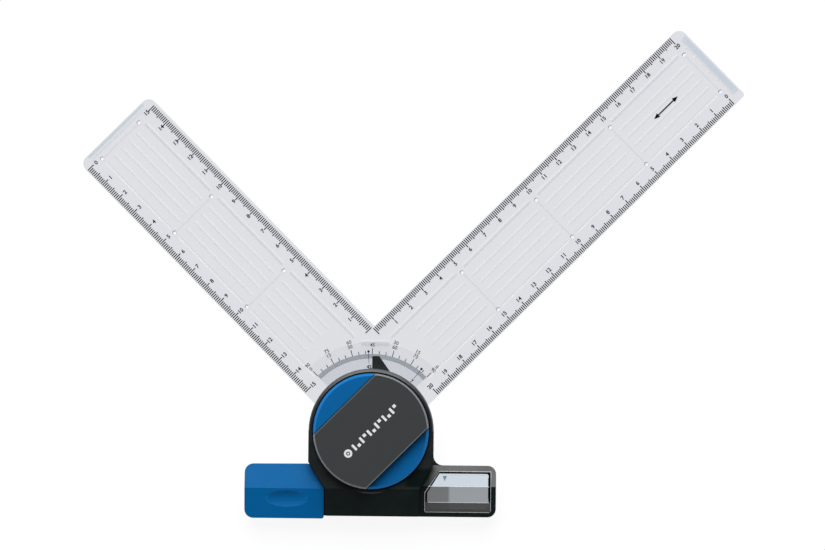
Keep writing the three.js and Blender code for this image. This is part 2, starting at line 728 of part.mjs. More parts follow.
// The pointer's root is held between the retaining ring and the housing. Its reading edge lies on x = 0.
function anglePointer() {
  const plan = [
    [0, POINTER_NECK_Y],
    [POINTER_WIDTH, POINTER_NECK_Y],
    [POINTER_TIP_WIDTH, POINTER_TIP_Y],
    [0, POINTER_TIP_Y],
  ];
  const across = [POINTER_ROOT_LEFT, POINTER_ROOT_RIGHT, POINTER_ROOT_Y, POINTER_ROOT_BACK_Y];
  const root = box(...across, POINTER_ROOT_UNDER, POINTER_ROOT_TOP);
  const neck = slab(plan, POINTER_UNDER, POINTER_ROOT_TOP);
  const over = box(-ABOVE, ABOVE, POINTER_STEP_Y, ABOVE, POINTER_TOP, ABOVE);
  return join(root, cut(neck, over));
}

function solePlate() {
  const plan = [
    [WING_LEFT + SOLE_INSET, FRONT_Y + SOLE_INSET, WING_CORNER],
    [WING_RIGHT - SOLE_INSET, FRONT_Y + SOLE_INSET, WING_CORNER],
    [WING_RIGHT - SOLE_INSET, WING_BACK_Y - SOLE_INSET, WING_CORNER],
    [WING_LEFT + SOLE_INSET, WING_BACK_Y - SOLE_INSET, WING_CORNER],
  ];
  const frontOfView = box(-2 * ABOVE, 2 * ABOVE, FRONT_Y, VIEW_FRONT, 0, ABOVE);
  const view = cut(slab(windowPlan(-VIEW_MARGIN), 0, ABOVE), frontOfView);
  const seats = GLIDE_PADS.map(([x, y, length, width]) =>
    block(x, y, length + SLIP, width + SLIP, 0, PAD_TOP + PAD_SEAT_SLIP),
  );
  return cut(
    slab(plan, SOLE_BOTTOM, SOLE_TOP),
    drum(TURRET_RADIUS + SLIP, 0, ABOVE, 0, 0, BIG_SIDES),
    view,
    brakeSlot(),
    ...seats,
    ...[...SOLE_SCREWS, ...SHOE_SCREWS].map((s) => screwHole(...s)),
  );
}

function guideShoe(screwPlace) {
  const [x, y] = screwPlace;
  const nose = SHOE_WIDTH / 2;
  const plan = [
    [x - SHOE_LENGTH / 2, y - nose, 1],
    [x + SHOE_LENGTH / 2, y - nose, 1],
    [x + SHOE_LENGTH / 2, y + nose, 1],
    [x - SHOE_LENGTH / 2, y + nose, 1],
  ];
  return cut(slab(plan, SHOE_BOTTOM, SOLE_BOTTOM), screwHole(...screwPlace));
}

function leverPlan(inset) {
  return [
    [LEVER_LEFT + inset, LEVER_FRONT + inset, LEVER_CORNER - inset],
    [LEVER_RIGHT - inset, LEVER_FRONT + inset, 1],
    [LEVER_RIGHT - inset, FLANK_Y, 0.5],
    [LEVER_SLANT_X - inset, LEVER_BACK - inset + 0.2, 0.5],
    [LEVER_LEFT + inset, LEVER_BACK - inset, LEVER_CORNER - inset],
  ];
}

// How high the lever's top is above the tray, in front of its ridge.
function leverTop(y) {
  const share = (y - LEVER_FRONT) / (LEVER_RIDGE_Y - LEVER_FRONT);
  return THREE.MathUtils.lerp(LEVER_FRONT_TOP, LEVER_RIDGE_TOP, share);
}

// Everything below the lever's top faces, lowered by a drop.
function underLeverTop(drop) {
  const back = LEVER_BACK_TOP - drop;
  const front = LEVER_FRONT_TOP - drop;
  const top = roof(LEVER_BACK + 0.2, back, LEVER_RIDGE_Y, LEVER_RIDGE_TOP - drop, LEVER_FRONT, front, 0);
  return prism(top, "x", -2 * ABOVE, 0);
}

// The hollow that a thumb finds on the lever's front slope.
function thumbDent() {
  const globe = new THREE.SphereGeometry(1, 24, 12);
  const length = DENT_HALF_LENGTH * DENT_BALL_GROWTH;
  const width = DENT_HALF_WIDTH * DENT_BALL_GROWTH;
  globe.scale(length, width, DENT_BALL_HEIGHT);
  return solid(globe.translate(DENT_X, DENT_Y, leverTop(DENT_Y) + DENT_DEPTH));
}

function railLever() {
  const shell = slab(leverPlan(0), LEVER_SKIRT, ABOVE).intersect(underLeverTop(0));
  const room = slab(leverPlan(LEVER_WALL), 0, ABOVE).intersect(underLeverTop(LEVER_ROOF));
  const ribs = RIB_SPANS.map((span) => acrossPin(span, RIB_BOTTOM, RIB_TOP));
  const plan = [BRAKE_X, BRAKE_Y, BRAKE_STEM_LENGTH, BRAKE_STEM_WIDTH];
  const stem = block(...plan, BRAKE_STEM_BOTTOM, BRAKE_STEM_TOP);
  return cut(join(cut(shell, room), ...ribs, stem), thumbDent(), pinBore());
}

function leverPin() {
  const made = new THREE.CylinderGeometry(PIN_RADIUS, PIN_RADIUS, PIN_LENGTH, SMALL_SIDES);
  return solid(made.rotateZ(Math.PI / 2).translate(PIN_X, LEVER_RIDGE_Y, PIN_Z));
}

const head = new THREE.Group();
const square = new THREE.Group();
square.rotation.z = REST_TURN;
head.add(square);

function add(group, name, body, material) {
  const mesh = new THREE.Mesh(geometryOf(body), new THREE.MeshStandardMaterial(MATERIALS[material]));
  mesh.name = name;
  group.add(mesh);
}

add(square, "ruler_square", rulerSquare(), "clear");
add(square, "clamp_plate", clampPlate(), "white");
CLAMP_SCREWS.forEach((s, i) => add(square, `clamp_screw_${i + 1}`, screw(...s), "steel"));
add(square, "hub_carrier", hubCarrier(), "white");
add(square, "grip_bar", gripBar(), "grip");
add(square, "axle_screw", screw(...AXLE_SCREW), "steel");
add(square, "release_plate", releasePlate(), "blue");
add(square, "lock_plate", lockPlate(), "steel");
const lockCoil = [0, 0, LOCK_SPRING_RADIUS, LOCK_SPRING_WIRE, FLANGE_TOP, LOCK_PLATE_BOTTOM];
add(square, "lock_spring", coil(...lockCoil, LOCK_SPRING_TURNS), "steel");

add(head, "housing", housing(), "black");
add(head, "retaining_ring", retainingRing(), "white");
RING_SCREWS.forEach((s, i) => add(head, `ring_screw_${i + 1}`, screw(...s), "steel"));
add(head, "friction_washer", ring(WASHER_BORE, WASHER_RADIUS, RING_TOP, WASHER_TOP), "white");
add(head, "brake_lining", ring(LINING_INNER, LINING_OUTER, LINING_BOTTOM, DECK_BOTTOM), "rubber");
add(head, "angle_pointer", anglePointer(), "black");
add(head, "reading_window", readingWindow(), "clear");
add(head, "sole_plate", solePlate(), "black");
SOLE_SCREWS.forEach((s, i) => add(head, `sole_screw_${i + 1}`, screw(...s), "steel"));
GLIDE_PADS.forEach(([x, y, length, width], i) =>
  add(head, `glide_pad_${i + 1}`, block(x, y, length, width, RAIL_TOP, PAD_TOP), "white"),
);
SHOE_SCREWS.forEach((s, i) => {
  add(head, `guide_shoe_${i + 1}`, guideShoe(s), "white");
  add(head, `shoe_screw_${i + 1}`, screw(...s), "steel");
});
add(head, "rail_lever", railLever(), "blue");
add(head, "lever_pin", leverPin(), "steel");
const springTop = leverTop(LEVER_SPRING_Y) - LEVER_ROOF - LEVER_SPRING_PLAY;
const leverCoil = [LEVER_SPRING_X, LEVER_SPRING_Y, LEVER_SPRING_RADIUS, LEVER_SPRING_WIRE, TRAY_TOP];
add(head, "lever_spring", coil(...leverCoil, springTop, LEVER_SPRING_TURNS), "steel");
const brakePad = block(BRAKE_X, BRAKE_Y, BRAKE_LENGTH, BRAKE_WIDTH, RAIL_TOP, BRAKE_PAD_TOP);
add(head, "rail_brake_pad", brakePad, "rubber");

export default head;
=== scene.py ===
"""A drafting head: a clear L-shaped square with printed scales, on a black housing with a blue lever."""

import json
import math

import bmesh
import bpy
from mathutils import Matrix, Vector


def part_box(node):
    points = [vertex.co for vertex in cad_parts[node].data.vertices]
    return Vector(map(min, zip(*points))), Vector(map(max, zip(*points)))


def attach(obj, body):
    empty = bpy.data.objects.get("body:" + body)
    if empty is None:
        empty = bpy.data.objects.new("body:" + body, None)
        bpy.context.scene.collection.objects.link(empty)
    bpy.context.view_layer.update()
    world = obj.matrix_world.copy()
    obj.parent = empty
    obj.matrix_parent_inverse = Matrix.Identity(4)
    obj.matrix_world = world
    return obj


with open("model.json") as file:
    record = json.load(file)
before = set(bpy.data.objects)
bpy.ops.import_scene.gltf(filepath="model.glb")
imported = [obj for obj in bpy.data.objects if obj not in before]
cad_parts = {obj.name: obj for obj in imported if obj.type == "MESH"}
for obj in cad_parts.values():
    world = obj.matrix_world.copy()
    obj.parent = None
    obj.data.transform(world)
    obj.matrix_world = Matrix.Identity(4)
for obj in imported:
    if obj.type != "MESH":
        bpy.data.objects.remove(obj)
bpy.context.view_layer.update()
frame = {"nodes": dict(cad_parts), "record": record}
nodes = frame["nodes"]

MM = 0.001
REST_TURN = math.radians(45)

# The square, in its own frame: x runs along the long arm and y along the short one (mm)
LONG_INNER = 35.3
LONG_OUTER = -10.25
SHORT_INNER = 36.5
SHORT_OUTER = -10.3
LONG_END = 242.4
SHORT_END = 190.9
FLAT_FROM = 0
FLAT_TO = 25
SHEET_UNDER = 0.4
SHEET_TOP = 3.4
SHEET_EDGE_TOP = 1.4
END_BEVEL = 3.4
END_DROP = 1.6
ARC_FLOOR = 2.6
ARC_RADIUS = 35
ARC_SLOPE_END = 37.2
ARC_SHADOW_END = 43
ARC_MIDDLE = 45
RIM_LINES_FROM = 38

# The groove below the inner corner, drawn as painted highlight and painted shade, in the row frame (mm)
GROOVE_ENDS = (-5.4, 8.4)
GROOVE_LIGHT = (43.2, 44.0)
GROOVE_SHADE = (40.9, 43.1)

# Scales: the zero's place along each arm, in mm
LONG_ZERO = 35.4
LONG_CENTIMETRES = 20
SHORT_ZERO = 35.8
SHORT_CENTIMETRES = 15
TICK_WIDTH = 0.5
TICK_LENGTHS = {10: 4.1, 5: 3.4, 1: 2.8}
TICK_GAP = 0.45
SHORT_INNER_GAP = 1.5
LONG_INNER_EXTRA = 0.4
SHORT_INNER_EXTRA = 1.45
SHORT_OUTER_EXTRA = 0.25
FIGURE_HEIGHT = 2.1
FIGURE_FROM_EDGE = 5.7
INK_THICKNESS = 0.02
INK_CLEARANCE = 0.01

# The two-headed arrow on the long arm
ARROW_MIDDLE = (210.7, 12.1)
ARROW_LENGTH = 16
ARROW_HEAD = 3

# Spacer nubs under the sheet
NUB_ROWS = (-1, 23.9)
LONG_NUBS = (84.7, 134.7, 184.7, 234.7)
SHORT_NUBS = LONG_NUBS[:3]

# Protractor (mm from the hub's axis)
OUTER_FIGURES = 44.2
INNER_FIGURES = 41.9
MIDDLE_FIGURE = 41.6
DEGREE_FIGURE = 1.8
DEGREE_MARK_WIDTH = 0.34
DEGREE_MARK = 1.5
FIGURED_MARK = 3.1
MIDDLE_MARK = 2.8
AXONOMETRIC_MARKS = {47.8: "42", 6.8: "7"}
AXONOMETRIC_FROM = 32.6
AXONOMETRIC_TO = 37.7
AXONOMETRIC_DOT = 38.4
AXONOMETRIC_FIGURE = 31.05

# Knob and foot bar (mm)
GRIP_TOP = 27
GRIP_HALF_WIDTH = 18.2
GRIP_EDGE_REACH = 20.4
MOTIF_RING_X = -15.2
MOTIF_STROKES = 12
MOTIF_STROKES_FROM = -11.5
MOTIF_PITCH = 2.5
WINDOW_RIDGE_Y = -26.2
WINDOW_BACK_DROP = 1.24
WINDOW_FRONT_DROP = 1.99
WINDOW_VIEW_FRONT = -33.9
# The window's front slope has the darker painted shade up to here.
WINDOW_LEFT_SHADE_END = 37.7
WINDOW_SLANT_X = 32.6
WINDOW_SLANT_Y = -29
RIM_LIGHT = 0.75
INDEX_X = 35.6
INDEX_TOP_Y = -21.2
INDEX_TIP_Y = -23.7

# Studio (m)
FLOOR_GAP = 0.0002
LAMP_PLACE = (-0.1, 1.27, 1.36)
LAMP_AIM = (0, 0.05, 0)
EYE_DISTANCE = 4.0
FIELD_WIDTH = 0.3983
EYE_TURN_DEGREES = (0.7, 0.55, 0.6)
LOOKED_AT = (0.01895, 0.07552, 0)


# ---------------------------------------------------------------- materials


def linear(*srgb):
    """A colour given in 0 to 255 as the renderer's linear values."""
    steps = [c / 255 for c in srgb]
    return [c / 12.92 if c <= 0.04045 else ((c + 0.055) / 1.055) ** 2.4 for c in steps] + [1]


class Tree:
    """A new material's node tree, with short ways to add and join nodes."""

    def __init__(self, name):
        self.material = bpy.data.materials.new(name)
        self.material.use_nodes = True
        self.nodes = self.material.node_tree.nodes
        self.nodes.clear()
        self.output = self.add("ShaderNodeOutputMaterial")

    def add(self, kind, **settings):
        """A new node with its settings."""
        node = self.nodes.new(kind)
        for key, value in settings.items():
            setattr(node, key, value)
        return node

    def join(self, out, into):
        self.material.node_tree.links.new(out, into)

    def noise(self, scale, detail=3, stretch=(1, 1, 1)):
        """Noise in the object's own metres."""
        place = self.add("ShaderNodeTexCoord")
        mapping = self.add("ShaderNodeMapping")
        mapping.inputs["Scale"].default_value = stretch
        mapping.inputs["Rotation"].default_value = (0, 0, -REST_TURN)
        texture = self.add("ShaderNodeTexNoise")
        texture.inputs["Scale"].default_value = scale
        texture.inputs["Detail"].default_value = detail
        self.join(place.outputs["Object"], mapping.inputs["Vector"])
        self.join(mapping.outputs["Vector"], texture.inputs["Vector"])
        return texture.outputs["Fac"]

    def spread(self, factor, low, high):
        """A 0 to 1 value carried to low to high."""
        node = self.add("ShaderNodeMapRange")
        node.inputs["To Min"].default_value = low
        node.inputs["To Max"].default_value = high
        self.join(factor, node.inputs["Value"])
        return node.outputs["Result"]

    def blend(self, factor, first, second):
        """A colour between two, each a list of numbers or a socket."""
        node = self.add("ShaderNodeMix", data_type="RGBA")
        self.join(factor, node.inputs["Factor"])
        for colour, socket in ((first, node.inputs["A"]), (second, node.inputs["B"])):
            if isinstance(colour, bpy.types.NodeSocket):
                self.join(colour, socket)
            else:
                socket.default_value = colour
        return node.outputs["Result"]

    def bump(self, height, strength, distance):
        """A normal that a height value makes uneven, by distance in metres."""
        node = self.add("ShaderNodeBump")
        node.inputs["Strength"].default_value = strength
        node.inputs["Distance"].default_value = distance
        self.join(height, node.inputs["Height"])
        return node.outputs["Normal"]

    def ramp(self, factor, *stops):
        """A grey value that goes through stops of (position, value)."""
        node = self.add("ShaderNodeValToRGB")
        elements = node.color_ramp.elements
        first, *between, last = stops
        ends = [(elements[0], first), (elements[1], last)]
        for element, (position, value) in ends:
            element.position = position
            element.color = (value, value, value, 1)
        for position, value in between:
            elements.new(position).color = (value, value, value, 1)
        self.join(factor, node.inputs["Fac"])
        return node.outputs["Color"]

    def slanted(self, low, high):
        """1 on faces that slant by about 45 degrees, such as a chamfer, and 0 on level and upright ones."""
        flatness = self.add("ShaderNodeMath", operation="ABSOLUTE")
        self.join(self.facing("Z"), flatness.inputs[0])
        middle = (low + high) / 2
        return self.ramp(
            flatness.outputs[0],
            (1 - high - 0.1, 0), (1 - high, 1), (1 - middle, 1), (1 - low, 1), (1 - low + 0.1, 0),
        )

    def place(self, axis, low, high):
        """0 below low and 1 above high along one of the object's own axes, in mm."""
        coordinates = self.add("ShaderNodeTexCoord")
        parts = self.add("ShaderNodeSeparateXYZ")
        step = self.add("ShaderNodeMapRange")
        step.inputs["From Min"].default_value = low * MM
        step.inputs["From Max"].default_value = high * MM
        self.join(coordinates.outputs["Object"], parts.inputs["Vector"])
        self.join(parts.outputs[axis], step.inputs["Value"])
        return step.outputs["Result"]

    def facing(self, axis):
        """The surface's own direction along one axis, -1 to 1."""
        geometry = self.add("ShaderNodeNewGeometry")
        parts = self.add("ShaderNodeSeparateXYZ")
        self.join(geometry.outputs["Normal"], parts.inputs["Vector"])
        return parts.outputs[axis]


def moulded(
    name, colour, worn, roughness, shine=0.5, grain=1400, depth=0.00002, metallic=0.0, rim_highlight=None, dull=False,
):
    """Moulded plastic, plated steel or rubber: fine grain, faint flow marks, rubbed patches and, where a
    highlight colour is given, a painted highlight on chamfers and other slanted faces.

    A dull one shines less on the deck between the turret and the window."""
    t = Tree(name)
    shader = t.add("ShaderNodeBsdfPrincipled")
    patches = t.noise(60, detail=6)
    fine = t.noise(grain, detail=2)
    base = t.blend(t.spread(patches, 0, 0.5), colour, worn)
    # Painted highlight: the lighter colour goes on chamfers and other slanted faces.
    if rim_highlight:
        base = t.blend(t.slanted(0.15, 0.5), base, rim_highlight)
    t.join(base, shader.inputs["Base Color"])
    t.join(t.spread(t.noise(150, detail=5), roughness - 0.08, roughness + 0.1), shader.inputs["Roughness"])
    t.join(t.bump(fine, 0.5, depth), shader.inputs["Normal"])
    shader.inputs["Metallic"].default_value = metallic
    shader.inputs["Specular IOR Level"].default_value = shine
    if dull:
        beside = t.ramp(t.place("X", 15, 32), (0, 1), (0.2, 0.2), (0.75, 0.2), (1, 1))
        behind_ridge = t.ramp(t.place("Y", -27, -17), (0, 1), (0.1, 0), (0.8, 0), (1, 1))
        shines = t.add("ShaderNodeMath", operation="MAXIMUM")
        t.join(beside, shines.inputs[0])
        t.join(behind_ridge, shines.inputs[1])
        t.join(t.spread(shines.outputs[0], 0, shine), shader.inputs["Specular IOR Level"])
    t.join(shader.outputs["BSDF"], t.output.inputs["Surface"])
    return t.material


def clear_plastic(name, through, edge, window=False):
    """Clear plastic: it lets light through with a faint tint and shines a little; its tilted faces let
    through a darker, bluer colour, a painted shade.

    A window has painted shade on its front slope, darker to the left, and white diffuse mixed in as a painted
    highlight on its tilted faces, with a little over its front seat."""
    t = Tree(name)
    clear = t.add("ShaderNodeBsdfTransparent")
    gloss = t.add("ShaderNodeBsdfGlossy")
    mix = t.add("ShaderNodeMixShader")
    grazing = t.add("ShaderNodeLayerWeight")
    grazing.inputs["Blend"].default_value = 0.5
    sheen = t.add("ShaderNodeMath", operation="POWER")
    sheen.inputs[1].default_value = 5
    t.join(grazing.outputs["Facing"], sheen.inputs[0])
    steep = t.add("ShaderNodeMath", operation="ABSOLUTE")
    t.join(t.facing("Z"), steep.inputs[0])
    cloudy_and_shaded = t.blend(t.noise(25, detail=4), through, [c * 0.985 for c in through[:3]] + [1])
    # Painted shade through the window's front slope, darker to the left.
    if window:
        right = WINDOW_LEFT_SHADE_END
        front_shade = t.blend(t.place("X", right - 0.6, right + 0.6), WINDOW_LEFT_PAINTED_SHADE, WINDOW_FRONT_PAINTED_SHADE)
        cloudy_and_shaded = t.blend(t.place("Y", WINDOW_RIDGE_Y - 0.15, WINDOW_RIDGE_Y + 0.15), front_shade, cloudy_and_shaded)
    # Painted shade: tilted faces let through the darker, bluer edge colour.
    t.join(t.blend(steep.outputs[0], edge, cloudy_and_shaded), clear.inputs["Color"])
    t.join(t.spread(t.noise(300, detail=3), 0.06, 0.14), gloss.inputs["Roughness"])
    streaks = t.noise(900, detail=2, stretch=(0.04, 1, 1))
    t.join(t.bump(streaks, 0.08, 0.00001), gloss.inputs["Normal"])
    t.join(sheen.outputs["Value"], mix.inputs["Fac"])
    t.join(clear.outputs["BSDF"], mix.inputs[1])
    t.join(gloss.outputs["BSDF"], mix.inputs[2])
    surface = mix.outputs["Shader"]
    # Painted highlight: white diffuse on the window's tilted faces, and a little over its front seat.
    if window:
        highlight_diffuse = t.add("ShaderNodeBsdfDiffuse")
        highlight_mix = t.add("ShaderNodeMixShader")
        tilted_face_highlight = t.ramp(steep.outputs[0], (0, 0.6), (0.8, 0.6), (0.96, 0))
        seat = t.spread(t.place("Y", WINDOW_VIEW_FRONT - 0.1, WINDOW_VIEW_FRONT + 0.1), 0.1, 0)
        both = t.add("ShaderNodeMath", operation="ADD", use_clamp=True)
        t.join(tilted_face_highlight, both.inputs[0])
        t.join(seat, both.inputs[1])
        t.join(both.outputs[0], highlight_mix.inputs["Fac"])
        t.join(surface, highlight_mix.inputs[1])
        t.join(highlight_diffuse.outputs["BSDF"], highlight_mix.inputs[2])
        surface = highlight_mix.outputs["Shader"]
    t.join(surface, t.output.inputs["Surface"])
    return t.material


def glow(name, colour, cover):
    """A fine painted highlight: it covers part of what is under it with a lighter, faintly glowing tone,
    where a line or edge gathers light.
    """
    t = Tree(name)
    clear = t.add("ShaderNodeBsdfTransparent")
    shader = t.add("ShaderNodeBsdfPrincipled")
    shader.inputs["Base Color"].default_value = colour
    shader.inputs["Roughness"].default_value = 0.35
    shader.inputs["Emission Color"].default_value = colour
    shader.inputs["Emission Strength"].default_value = 0.45
    mix = t.add("ShaderNodeMixShader")
    t.join(t.spread(t.noise(400), cover * 0.85, min(1, cover * 1.15)), mix.inputs["Fac"])
    t.join(clear.outputs["BSDF"], mix.inputs[1])
    t.join(shader.outputs["BSDF"], mix.inputs[2])
    t.join(mix.outputs["Shader"], t.output.inputs["Surface"])
    return t.material


def tint(name, colour):
    """A thin clear skin that only dims what is under it."""
    t = Tree(name)
    clear = t.add("ShaderNodeBsdfTransparent")
    lighter = [min(1, c * 1.012) for c in colour[:3]] + [1]
    t.join(t.blend(t.noise(500, detail=4), colour, lighter), clear.inputs["Color"])
    t.join(clear.outputs["BSDF"], t.output.inputs["Surface"])
    return t.material


def ink(name, colour, thin):
    """Printed ink: slightly uneven cover and a dull surface."""
    t = Tree(name)
    shader = t.add("ShaderNodeBsdfPrincipled")
    t.join(t.blend(t.noise(900, detail=4), colour, thin), shader.inputs["Base Color"])
    t.join(t.spread(t.noise(1500), 0.5, 0.7), shader.inputs["Roughness"])
    t.join(shader.outputs["BSDF"], t.output.inputs["Surface"])
    return t.material


# Painted shade seen through the window's front slope; the darker one is for its left part.
WINDOW_FRONT_PAINTED_SHADE = [0.57, 0.585, 0.6, 1]
WINDOW_LEFT_PAINTED_SHADE = [0.42, 0.425, 0.43, 1]
# The second colour of each is a painted shade let through tilted faces.
CLEAR = clear_plastic("clear_sheet", [0.868, 0.871, 0.889, 1], linear(190, 210, 226))
WINDOW = clear_plastic("clear_window", [0.815, 0.858, 0.895, 1], linear(190, 210, 226), window=True)
# The chamfer colours of the black, grey and blue mouldings are painted highlights on their slanted faces.
BLACK = moulded(
    "black_housing", linear(6, 20, 20), linear(13, 27, 26), 0.3, shine=0.7, rim_highlight=linear(58, 62, 66), dull=True,
)
GRIP = moulded(
    "grey_grip", linear(51, 55, 57), linear(60, 64, 65), 0.6, shine=0.35, grain=1100, depth=0.00006,
    rim_highlight=linear(120, 126, 130),
)
BLUE = moulded(
    "blue_moulding", linear(0, 101, 167), linear(0, 109, 177), 0.5, shine=0.1, rim_highlight=linear(20, 115, 185),
)
WHITE = moulded("white_sliding_plastic", linear(226, 226, 219), linear(210, 209, 200), 0.45)
STEEL = moulded("plated_steel", linear(150, 153, 157), linear(176, 178, 180), 0.32, metallic=1.0)
RUBBER = moulded("brake_rubber", linear(40, 36, 34), linear(54, 50, 47), 0.85, grain=700, depth=0.00008)
INK = ink("black_ink", linear(10, 18, 24), linear(26, 36, 44))
WHITE_INK = ink("white_ink", linear(250, 250, 248), linear(238, 239, 238))
# Painted highlights: lighter, faintly glowing tones on engraved lines, the nubs and the window's edges.
LINE_PAINTED_HIGHLIGHT = glow("painted_line_highlight", linear(252, 253, 255), 0.1)
GLINT_PAINTED_HIGHLIGHT = glow("painted_glint_highlight", linear(252, 253, 255), 0.22)
FAINT_PAINTED_HIGHLIGHT = glow("painted_faint_highlight", linear(252, 253, 255), 0.04)
# Painted shade: darker clear skins on engraved lines, bevel creases, the groove, round the recess and inside
# the end bevels.
LINE_PAINTED_SHADE = tint("painted_line_shade", [0.93, 0.935, 0.945, 1])
SOFT_PAINTED_SHADE = tint("painted_soft_shade", [0.96, 0.962, 0.968, 1])
NUB_SHADE = tint("nub_shade", [0.68, 0.7, 0.73, 1])
ARC_SHADE = tint("arc_slope", [0.67, 0.69, 0.705, 1])
ARC_FLOOR_SHADE = tint("arc_floor", [0.895, 0.908, 0.92, 1])
END_SHADE = tint("end_bevel", [0.9, 0.93, 0.945, 1])
INDEX_SMOKE = tint("window_index_smoke", [0.56, 0.58, 0.6, 1])
# Painted highlight along the grip bar's straight edges.
GRIP_EDGE_PAINTED_HIGHLIGHT = moulded("painted_grip_edge_highlight", linear(104, 109, 112), linear(112, 117, 120), 0.4)
FINISHES = {
    "clear": CLEAR, "black": BLACK, "grip": GRIP, "blue": BLUE,
    "white": WHITE, "steel": STEEL, "rubber": RUBBER,
}


# ---------------------------------------------------------------- shapes


def finish_nodes():
    """Every CAD node gets its slot's material, smooth round walls and a softened edge where it shows."""
    softened = {
        "housing": 0.35, "grip_bar": 0.35, "release_plate": 0.3, "rail_lever": 0.5, "reading_window": 0.45,
        "angle_pointer": 0.15, "ruler_square": 0.12, "sole_plate": 0.2,
    }
    slots = {s["node"]: s["material_slot"] for s in frame["record"]["subparts"]}
    for name, node in nodes.items():
        node.data.materials.clear()
        node.data.materials.append(WINDOW if name == "reading_window" else FINISHES[slots[name]])
        node.data.shade_smooth()
        node.data.set_sharp_from_angle(angle=math.radians(22))
        if name in softened:
            edge = node.modifiers.new("softened_edges", "BEVEL")
            edge.width = softened[name] * MM
            edge.segments = 2
            edge.limit_method = "ANGLE"
            edge.angle_limit = math.radians(24)
            edge.harden_normals = True


def sheet_top(x, y):
    """The height of the sheet's top, in mm, at a place in the square's own frame."""

    def arm(across, outer, inner):
        if across > FLAT_TO:
            share = (across - FLAT_TO) / (inner - FLAT_TO)
        else:
            share = max(0, (FLAT_FROM - across) / (FLAT_FROM - outer))
        return SHEET_TOP - share * (SHEET_TOP - SHEET_EDGE_TOP)

    heights = []
    if x >= 0 and LONG_OUTER <= y <= LONG_INNER:
        heights.append(arm(y, LONG_OUTER, LONG_INNER))
    if y >= 0 and SHORT_OUTER <= x <= SHORT_INNER:
        heights.append(arm(x, SHORT_OUTER, SHORT_INNER))
    top = max(heights, default=SHEET_TOP)
    past = max(x - LONG_END, y - SHORT_END) + END_BEVEL
    if past > 0:
        top = min(top, SHEET_TOP - past / END_BEVEL * END_DROP)
    radius = math.hypot(x, y)
    if radius < ARC_SLOPE_END and x > 0 and y > 0:
        rise = max(0, (radius - ARC_RADIUS) / (ARC_SLOPE_END - ARC_RADIUS))
        top = min(top, ARC_FLOOR + rise * (SHEET_TOP - ARC_FLOOR))
    return top


def under_sheet(x, y):
    """Just under the sheet, where its scales are printed so that they lie on the paper."""
    return SHEET_UNDER - INK_THICKNESS - 2 * INK_CLEARANCE


class Print:
    """Flat shapes gathered in the square's frame, in mm, then laid on a surface as one thin piece."""

    def __init__(self, name, material, slot, surface=sheet_top, body="square"):
        self.name, self.material, self.slot, self.surface, self.body = name, material, slot, surface, body
        self.points, self.faces = [], []

    def shape(self, points):
        """One flat face through the points."""
        start = len(self.points)
        self.points += points
        self.faces.append(list(range(start, start + len(points))))

    def mesh(self, points, faces):
        """Several faces that share points."""
        start = len(self.points)
        self.points += points
        self.faces += [[start + i for i in face] for face in faces]

    def line(self, start, end, width, steps=1):
        """A straight line, cut into steps where the surface bends under it."""
        a, b = Vector(start), Vector(end)
        side = (b - a).normalized().orthogonal() * width / 2
        for i in range(steps):
            low, high = a.lerp(b, i / steps), a.lerp(b, (i + 1) / steps)
            self.shape([tuple(p) for p in (low - side, high - side, high + side, low + side)])

    def dot(self, x, y, radius, sides=12):
        """A filled round."""
        turns = [2 * math.pi * i / sides for i in range(sides)]
        self.shape([(x + radius * math.cos(a), y + radius * math.sin(a)) for a in turns])

    def band(self, inner, outer, start, end, steps=30, centre=(0, 0)):
        """Part of a ring between two angles in degrees."""
        for i in range(steps):
            a, b = (math.radians(start + (end - start) * k / steps) for k in (i, i + 1))
            corners = ((inner, a), (outer, a), (outer, b), (inner, b))
            self.shape([(centre[0] + r * math.cos(t), centre[1] + r * math.sin(t)) for r, t in corners])

    def bar(self, x0, x1, y0, y1):
        """A filled rectangle."""
        self.shape([(x0, y0), (x1, y0), (x1, y1), (x0, y1)])

    def figure(self, text, x, y, height, turn=0, weight=0.03):
        """Generic figures, centred on a place and turned from the square's x by turn degrees."""
        points, faces = figure_mesh(text, height, weight)
        spin = Matrix.Rotation(math.radians(turn), 2)
        self.mesh([tuple(spin @ Vector(p) + Vector((x, y))) for p in points], faces)

    def lay(self):
        """The gathered shapes as one piece, a little proud of the surface, riding on its body."""
        made = bmesh.new()
        corners = []
        for x, y in self.points:
            height = self.surface(x, y) + INK_CLEARANCE
            corners.append(made.verts.new((x * MM, y * MM, height * MM)))
        for face in self.faces:
            try:
                made.faces.new([corners[i] for i in face])
            except ValueError:
                continue
        bmesh.ops.recalc_face_normals(made, faces=made.faces)
        for face in made.faces:
            if face.normal.z < 0:
                face.normal_flip()
        data = bpy.data.meshes.new(self.name)
        made.to_mesh(data)
        made.free()
        data.transform(Matrix.Rotation(REST_TURN, 4, "Z"))
        data.materials.append(self.material)
        piece = bpy.data.objects.new(self.name, data)
        bpy.context.scene.collection.objects.link(piece)
        skin = piece.modifiers.new("ink_thickness", "SOLIDIFY")
        skin.thickness = INK_THICKNESS * MM
        skin.offset = 1
        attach(piece, self.body)
        return piece


FIGURES = {}


